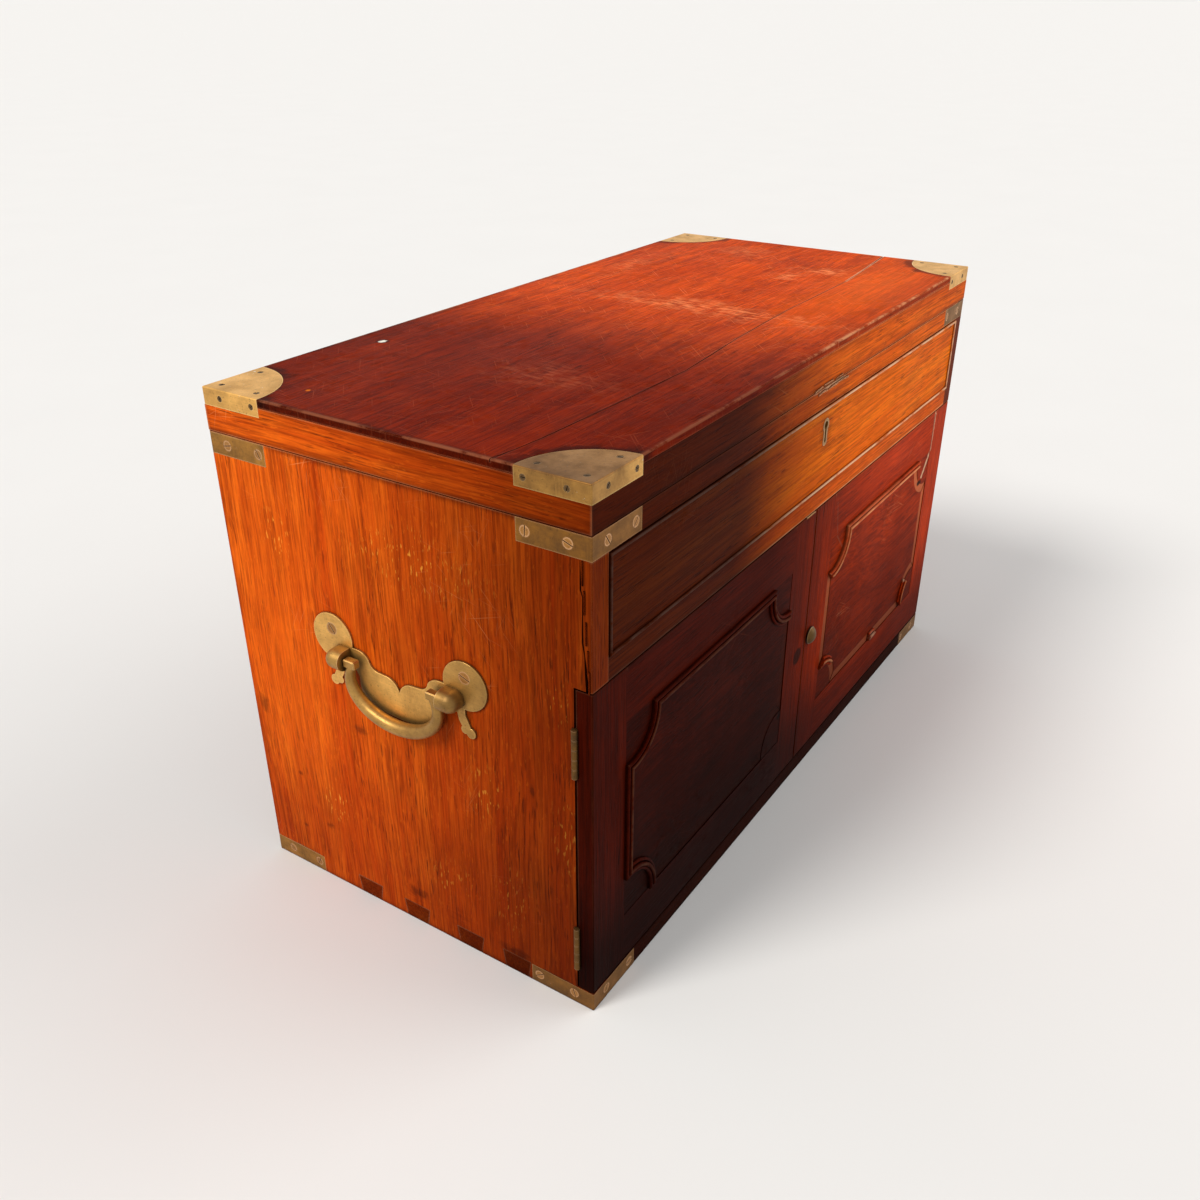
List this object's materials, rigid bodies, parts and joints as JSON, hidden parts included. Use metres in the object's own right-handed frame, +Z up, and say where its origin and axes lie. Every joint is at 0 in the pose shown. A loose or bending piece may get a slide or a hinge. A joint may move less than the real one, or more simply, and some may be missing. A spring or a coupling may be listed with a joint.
{
  "type": "campaign chest",
  "caption": "Low travelling chest with a lift lid, one long drawer over a cupboard with a pair of panelled doors, brass-bound corners and swinging end handles.",
  "frame": {"origin": "middle of the underside, on the ground plane", "axes": "+X along the length to the right seen from the front, -Y towards the front with the drawer and doors, +Z up"},
  "size_m": [0.9574, 0.4511, 0.555],
  "materials": {
    "mahogany_end": "worn french polish",
    "mahogany_top": "worn french polish",
    "mahogany_rail": "worn french polish",
    "mahogany_drawer": "worn french polish",
    "mahogany_bottom": "dark worn polish",
    "mahogany_door": "worn french polish",
    "mahogany_panel": "worn french polish",
    "mahogany_moulding": "worn french polish",
    "pine": "bare, aged",
    "brass": "aged, rubbed bright at edges",
    "strap_brass": "aged, dull",
    "screw_brass": "aged, slotted heads"
  },
  "bodies": {
    "case": {"end_panel_left": "mahogany_end", "end_panel_right": "mahogany_end", "back_board": "pine", "bottom_board": "mahogany_bottom", "top_rail": "mahogany_rail", "drawer_rail": "mahogany_rail", "well_floor": "pine", "dust_board": "pine", "drawer_runners": "pine", "drawer_stops": "pine", "door_stop": "pine", "top_straps": "strap_brass", "foot_straps": "strap_brass", "case_screws": "screw_brass", "bolt_keeps": "brass", "door_hinge_case_leaves": "brass", "door_hinge_pins": "brass", "lid_hinge_case_leaves": "brass", "lid_hinge_pins": "brass", "handle_plate_left": "brass", "handle_plate_right": "brass", "handle_posts": "brass", "handle_screws": "screw_brass"},
    "lid": {"lid_board": "mahogany_top", "lid_rim_front": "mahogany_rail", "lid_rim_back": "mahogany_rail", "lid_rim_ends": "mahogany_rail", "lid_corner_front_left": "brass", "lid_corner_front_right": "brass", "lid_corner_back_left": "brass", "lid_corner_back_right": "brass", "lid_hinge_leaves": "brass", "lid_screws": "screw_brass"},
    "drawer": {"drawer_front": "mahogany_drawer", "drawer_sides": "pine", "drawer_back": "pine", "drawer_bottom": "pine", "drawer_cockbeads": "mahogany_drawer", "drawer_escutcheon": "brass", "drawer_lock": "brass", "drawer_lock_screws": "screw_brass"},
    "drawer_bolt": {"drawer_lock_bolt": "brass"},
    "left_door": {"left_door_stiles": "mahogany_door", "left_door_rails": "mahogany_door", "left_door_panel": "mahogany_panel", "left_door_mouldings": "mahogany_moulding", "left_door_hinge_leaves": "brass", "left_door_screws": "screw_brass", "door_bolt_plate": "brass"},
    "right_door": {"right_door_stiles": "mahogany_door", "right_door_rails": "mahogany_door", "right_door_panel": "mahogany_panel", "right_door_mouldings": "mahogany_moulding", "right_door_hinge_leaves": "brass", "right_door_screws": "screw_brass"},
    "left_door_bolt": {"door_bolt": "brass"},
    "door_turn": {"turn_knob": "brass", "turn_tongue": "brass"},
    "left_handle": {"left_bail": "brass"},
    "right_handle": {"right_bail": "brass"}
  },
  "joints": [
    {"name": "lid_lift", "type": "hinge", "parent": "case", "child": "lid", "pos_m": [0, 0.2206, 0.51175], "axis": [-1, 0, 0], "range_deg": [0, 100]},
    {"name": "drawer_slide", "type": "slide", "parent": "case", "child": "drawer", "axis": [0, -1, 0], "range_m": [0, 0.3]},
    {"name": "drawer_lock_throw", "type": "slide", "parent": "drawer", "child": "drawer_bolt", "axis": [0, 0, 1], "range_m": [0, 0.007]},
    {"name": "left_door_swing", "type": "hinge", "parent": "case", "child": "left_door", "pos_m": [-0.4587, -0.2009, 0.0235], "axis": [0, 0, -1], "range_deg": [0, 180]},
    {"name": "right_door_swing", "type": "hinge", "parent": "case", "child": "right_door", "pos_m": [0.4587, -0.2009, 0.0235], "axis": [0, 0, 1], "range_deg": [0, 180]},
    {"name": "left_door_bolt_slide", "type": "slide", "parent": "left_door", "child": "left_door_bolt", "axis": [0, 0, 1], "range_m": [0, 0.008]},
    {"name": "door_turn_latch", "type": "hinge", "parent": "right_door", "child": "door_turn", "pos_m": [0.01275, -0.219, 0.198], "axis": [0, 1, 0], "range_deg": [0, 90]},
    {"name": "left_bail_swing", "type": "hinge", "parent": "case", "child": "left_handle", "pos_m": [-0.4682, 0, 0.313], "axis": [0, 1, 0], "range_deg": [0, 170]},
    {"name": "right_bail_swing", "type": "hinge", "parent": "case", "child": "right_handle", "pos_m": [0.4682, 0, 0.313], "axis": [0, -1, 0], "range_deg": [0, 170]}
  ]
}
